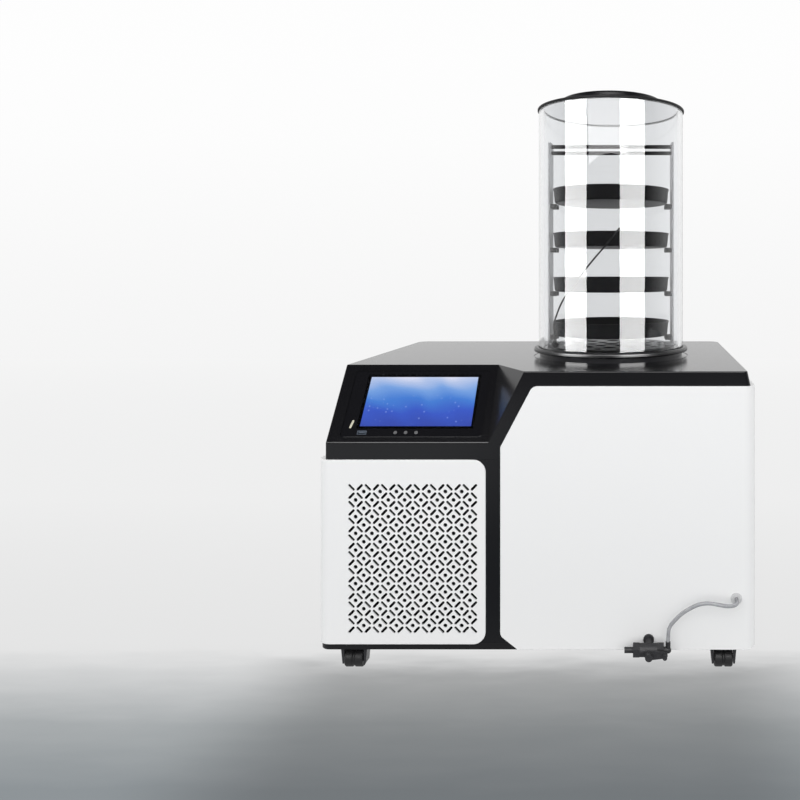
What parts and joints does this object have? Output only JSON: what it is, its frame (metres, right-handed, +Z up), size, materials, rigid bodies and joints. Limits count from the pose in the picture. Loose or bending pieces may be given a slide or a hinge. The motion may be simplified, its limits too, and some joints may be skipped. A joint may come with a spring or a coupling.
{
  "type": "benchtop freeze dryer",
  "caption": "Benchtop freeze dryer: white and black cabinet on casters with a sloped touchscreen pod, and a clear drying chamber with a tray rack over its cold trap.",
  "frame": {"origin": "on the floor, in the middle of the footprint from the drain lever to the vacuum port", "axes": "+X to the right as one faces the machine, +Y to the back, +Z up"},
  "size_m": [0.628, 0.547, 0.8674],
  "materials": {
    "black_steel": "satin powder coat",
    "black_moulding": "fine textured satin ABS",
    "white_enamel": "smooth satin white enamel",
    "grey_steel": "satin light grey enamel",
    "zinc_screws": "bright zinc",
    "gloss_black": "gloss black",
    "touch_glass": "clear toughened glass",
    "display": "lit blue picture",
    "bright_steel": "bright stainless steel",
    "circuit_board": "green solder mask",
    "black_anodised": "black anodised",
    "dark_anodised": "dark anodised",
    "black_rubber": "matt rubber",
    "pale_rubber": "pale grey silicone rubber",
    "clear_acrylic": "clear polished acrylic",
    "black_cable": "thin black cable jacket",
    "copper": "bare copper tube",
    "foam": "rigid polyurethane foam",
    "nickel_brass": "nickel plated",
    "fin_aluminium": "plain fins",
    "black_enamel": "gloss black enamel",
    "clear_hose": "clear grey polyurethane",
    "indicator": "milky light pipe",
    "tyre": "hard black rubber"
  },
  "bodies": {
    "cabinet": {"base_flange": "black_anodised", "base_pan": "black_steel", "caster_plates": "black_steel", "chamber_cylinder": "clear_acrylic", "compressor": "black_enamel", "compressor_feet": "black_rubber", "condenser": "fin_aluminium", "control_board": "circuit_board", "drain_hose": "clear_hose", "drain_valve": "black_moulding", "fan_motor": "black_steel", "fan_shroud": "black_steel", "flange_gasket": "black_rubber", "front_frame": "black_moulding", "hose_grommet": "pale_rubber", "lcd_panel": "display", "left_panel": "white_enamel", "lid_cap": "black_moulding", "lid_plate": "bright_steel", "lid_seal": "black_rubber", "mains_inlet": "black_moulding", "panel_screws": "zinc_screws", "probe_gland": "black_anodised", "probe_lead": "black_cable", "rack_base": "black_anodised", "rack_rods": "black_anodised", "rack_side_left": "bright_steel", "rack_side_right": "bright_steel", "rack_studs": "black_anodised", "rear_panel": "grey_steel", "refrigerant_lines": "copper", "release_valve": "nickel_brass", "right_panel": "white_enamel", "sample_probe": "bright_steel", "screen_bezel": "gloss_black", "status_lights": "indicator", "top_cover": "black_moulding", "touch_glass": "touch_glass", "trap_coil": "copper", "trap_insulation": "foam", "trap_well": "bright_steel", "tray_1": "dark_anodised", "tray_2": "dark_anodised", "tray_3": "dark_anodised", "tray_4": "dark_anodised", "usb_port": "bright_steel", "vacuum_port": "bright_steel"},
    "fan": {"fan_rotor": "black_moulding"},
    "knob": {"release_knob": "black_moulding"},
    "lever": {"drain_lever": "black_moulding"},
    "rocker": {"power_rocker": "gloss_black"},
    "fork_front_left": {"caster_fork_front_left": "black_steel"},
    "wheel_front_left": {"caster_wheel_front_left": "tyre"},
    "fork_front_right": {"caster_fork_front_right": "black_steel"},
    "wheel_front_right": {"caster_wheel_front_right": "tyre"},
    "fork_rear_left": {"caster_fork_rear_left": "black_steel"},
    "wheel_rear_left": {"caster_wheel_rear_left": "tyre"},
    "fork_rear_right": {"caster_fork_rear_right": "black_steel"},
    "wheel_rear_right": {"caster_wheel_rear_right": "tyre"}
  },
  "joints": [
    {"name": "fan_spin", "type": "hinge", "parent": "cabinet", "child": "fan", "pos_m": [-0.185, -0.1615, 0.16925], "axis": [0, 1, 0], "continuous": true},
    {"name": "release_turn", "type": "hinge", "parent": "cabinet", "child": "knob", "pos_m": [0.167, 0.2435, 0.375], "axis": [0, 1, 0], "range_deg": [0, 180]},
    {"name": "drain_turn", "type": "hinge", "parent": "cabinet", "child": "lever", "pos_m": [0.16, -0.2645, 0.0485], "axis": [0, -1, 0], "range_deg": [0, 90]},
    {"name": "power_rock", "type": "hinge", "parent": "cabinet", "child": "rocker", "pos_m": [-0.23, 0.2245, 0.111], "axis": [1, 0, 0], "range_deg": [-20, 0]},
    {"name": "swivel_front_left", "type": "hinge", "parent": "cabinet", "child": "fork_front_left", "pos_m": [-0.269, -0.1915, 0.03], "axis": [0, 0, 1], "continuous": true},
    {"name": "roll_front_left", "type": "hinge", "parent": "fork_front_left", "child": "wheel_front_left", "pos_m": [-0.269, -0.1995, 0.0125], "axis": [1, 0, 0], "continuous": true},
    {"name": "swivel_front_right", "type": "hinge", "parent": "cabinet", "child": "fork_front_right", "pos_m": [0.269, -0.1915, 0.03], "axis": [0, 0, 1], "continuous": true},
    {"name": "roll_front_right", "type": "hinge", "parent": "fork_front_right", "child": "wheel_front_right", "pos_m": [0.269, -0.1995, 0.0125], "axis": [1, 0, 0], "continuous": true},
    {"name": "swivel_rear_left", "type": "hinge", "parent": "cabinet", "child": "fork_rear_left", "pos_m": [-0.269, 0.1915, 0.03], "axis": [0, 0, 1], "continuous": true},
    {"name": "roll_rear_left", "type": "hinge", "parent": "fork_rear_left", "child": "wheel_rear_left", "pos_m": [-0.269, 0.1835, 0.0125], "axis": [1, 0, 0], "continuous": true},
    {"name": "swivel_rear_right", "type": "hinge", "parent": "cabinet", "child": "fork_rear_right", "pos_m": [0.269, 0.1915, 0.03], "axis": [0, 0, 1], "continuous": true},
    {"name": "roll_rear_right", "type": "hinge", "parent": "fork_rear_right", "child": "wheel_rear_right", "pos_m": [0.269, 0.1835, 0.0125], "axis": [1, 0, 0], "continuous": true}
  ]
}
